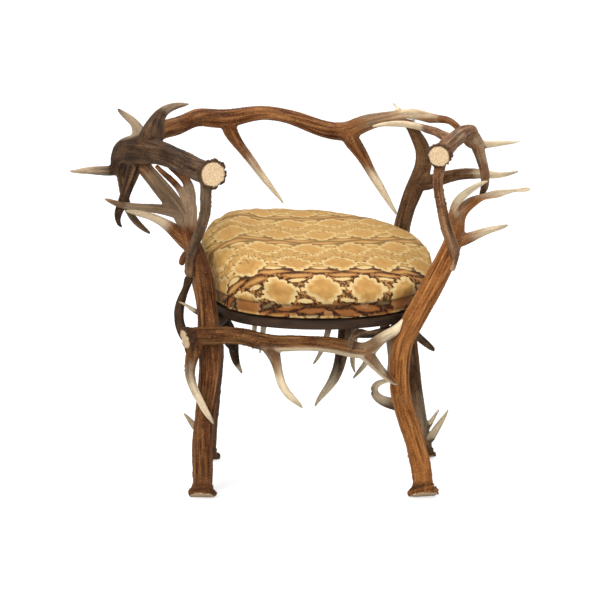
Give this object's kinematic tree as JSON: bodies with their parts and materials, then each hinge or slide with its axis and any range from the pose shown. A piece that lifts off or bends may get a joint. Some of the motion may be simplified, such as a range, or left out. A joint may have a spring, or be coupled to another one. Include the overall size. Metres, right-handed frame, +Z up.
{
  "type": "horn armchair",
  "caption": "Open armchair framed from pinned shed antlers, with antler arms, back rail and legs, and a crowned seat in snake skin print cloth.",
  "frame": {"origin": "centre of the chair's bounding box, on the floor", "axes": "+Z up, the sitter faces -Y, +X to the right as seen from the front"},
  "size_m": [0.9868, 0.541, 0.7958],
  "materials": {
    "antler_brown": "grooved brown antler with ivory tips",
    "antler_golden": "grooved golden brown antler with ivory tips",
    "antler_grey": "weathered grey brown antler with ivory tips",
    "stained_board": "dark stained board",
    "plywood": "bare plywood",
    "padding": "off-white wadding",
    "print_fabric": "woven cloth with a printed snake skin pattern",
    "steel": "bright steel"
  },
  "bodies": {
    "root": {"front_left_leg": "antler_brown", "front_right_leg": "antler_golden", "rear_left_leg": "antler_grey", "rear_right_leg": "antler_grey", "left_arm": "antler_brown", "right_arm": "antler_brown", "back_rail": "antler_brown", "front_rail": "antler_brown", "left_side_rail": "antler_grey", "right_side_rail": "antler_grey", "rear_rail": "antler_grey", "seat_platform": "stained_board", "slip_seat_base": "plywood", "seat_pad": "padding", "seat_cover": "print_fabric", "cover_staples": "steel", "joint_pins": "steel", "seat_screws": "steel"}
  },
  "joints": []
}
